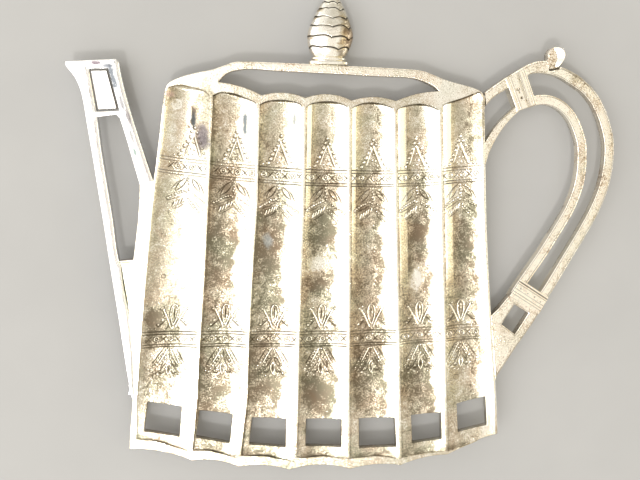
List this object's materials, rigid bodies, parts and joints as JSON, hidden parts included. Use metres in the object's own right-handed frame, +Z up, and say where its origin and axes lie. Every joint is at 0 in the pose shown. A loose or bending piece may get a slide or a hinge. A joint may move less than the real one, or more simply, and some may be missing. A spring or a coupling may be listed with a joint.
{
  "type": "table trivet",
  "caption": "Flat silver-plated table stand in the outline of a fluted teapot, with an open spout, looped handle, pine-cone finial and short feet.",
  "frame": {"origin": "middle of the bounding box, on the table under the feet", "axes": "+X from the body towards the handle, +Y from the base towards the lid finial, +Z up out of the engraved face"},
  "size_m": [0.2375, 0.21, 0.0151],
  "materials": {
    "silver_body": "silver plate, tarnished in the hollows",
    "silver_bars": "silver plate, dulled",
    "silver_spout": "silver plate, brighter",
    "silver_finial": "silver plate, dark in the grooves",
    "silver_feet": "silver plate, dull",
    "steel": "plain",
    "felt": "pressed felt"
  },
  "bodies": {
    "root": {"body_plate": "silver_body", "lid_arch": "silver_bars", "finial": "silver_finial", "finial_collar": "silver_finial", "finial_stud": "steel", "spout_frame": "silver_spout", "spout_panel": "silver_spout", "handle_top_strap": "silver_bars", "handle_outer_loop": "silver_bars", "handle_inner_loop": "silver_bars", "handle_upper_band": "silver_bars", "handle_lower_band": "silver_bars", "handle_socket": "silver_bars", "foot_spout_top": "silver_feet", "foot_handle_top": "silver_feet", "foot_spout_base": "silver_feet", "foot_handle_base": "silver_feet", "foot_pads": "felt", "joint_pegs": "steel"}
  },
  "joints": []
}
